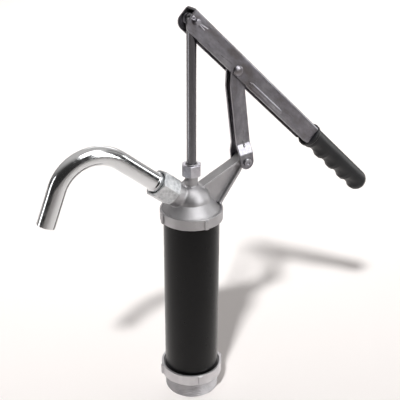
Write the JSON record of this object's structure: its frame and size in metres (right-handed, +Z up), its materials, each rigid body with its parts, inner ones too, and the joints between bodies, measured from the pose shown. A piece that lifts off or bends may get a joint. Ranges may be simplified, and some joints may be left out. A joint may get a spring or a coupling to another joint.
{
  "type": "fluid transfer pump",
  "caption": "Hand lever pump for drums: upright barrel with a bung thread below, bent spout, plunger rod, long gripped lever and a pair of rocking straps.",
  "frame": {"origin": "on the barrel's axis, at the lower end of the bung thread, which the pump stands on", "axes": "+Z up along the barrel, +X towards the grip, -X towards the spout"},
  "size_m": [0.3993, 0.0712, 0.4361],
  "materials": {
    "black_paint": "semi-gloss black paint",
    "cast_aluminium": "satin blasted casting",
    "zinc_steel": "bright zinc plate with fine drawing lines",
    "rough_zinc": "rough galvanised surface",
    "chrome": "bright chrome plate with fine bending lines",
    "rod_steel": "ground and polished",
    "brass": "turned",
    "black_vinyl": "soft satin dipped vinyl",
    "black_rubber": "matt nitrile rubber",
    "fibre": "pressed fibre gasket"
  },
  "bodies": {
    "root": {"barrel_tube": "black_paint", "base_casting": "cast_aluminium", "base_gasket": "fibre", "foot_valve_seat": "brass", "foot_valve_cage": "brass", "head_casting": "cast_aluminium", "head_gasket": "fibre", "gland_nut": "zinc_steel", "gland_packing": "black_rubber", "gland_follower": "brass", "spout_nut": "rough_zinc", "spout_seal": "black_rubber", "spout_tube": "chrome"},
    "foot_valve": {"foot_valve_plate": "black_rubber"},
    "plunger": {"plunger_rod": "rod_steel", "piston_body": "brass", "piston_cup": "black_rubber", "cup_backing": "brass", "piston_nut": "zinc_steel"},
    "piston_valve": {"piston_valve_plate": "black_rubber"},
    "lever": {"lever_channel": "zinc_steel", "lever_grip": "black_vinyl", "clevis_pin": "zinc_steel", "split_pin": "zinc_steel", "pin_washer_front": "zinc_steel", "pin_washer_rear": "zinc_steel", "lever_rivet_front": "zinc_steel", "lever_rivet_rear": "zinc_steel"},
    "link": {"link_strap_front": "zinc_steel", "link_strap_rear": "zinc_steel", "link_shaft": "zinc_steel", "arm_rivet": "zinc_steel", "arm_washer_front": "zinc_steel", "arm_washer_rear": "zinc_steel"}
  },
  "joints": [
    {"name": "rod_slide", "type": "slide", "parent": "root", "child": "plunger", "axis": [0, 0, -1], "range_m": [0, 0.115]},
    {"name": "lever_pivot", "type": "hinge", "parent": "plunger", "child": "lever", "pos_m": [0, 0, 0.4246], "axis": [0, -1, 0], "range_deg": [0, 105.16]},
    {"name": "link_pivot", "type": "hinge", "parent": "root", "child": "link", "pos_m": [0.061, 0, 0.27], "axis": [0, -1, 0], "range_deg": [0, 4.63]},
    {"name": "foot_valve_lift", "type": "slide", "parent": "root", "child": "foot_valve", "axis": [0, 0, 1], "range_m": [0, 0.005]},
    {"name": "piston_valve_lift", "type": "slide", "parent": "plunger", "child": "piston_valve", "axis": [0, 0, 1], "range_m": [0, 0.004]}
  ],
  "couplings": [
    {"joint": "lever_pivot", "follows": "rod_slide", "rad_per_m": 15.959},
    {"joint": "link_pivot", "follows": "rod_slide", "rad_per_m": 0.7011}
  ]
}
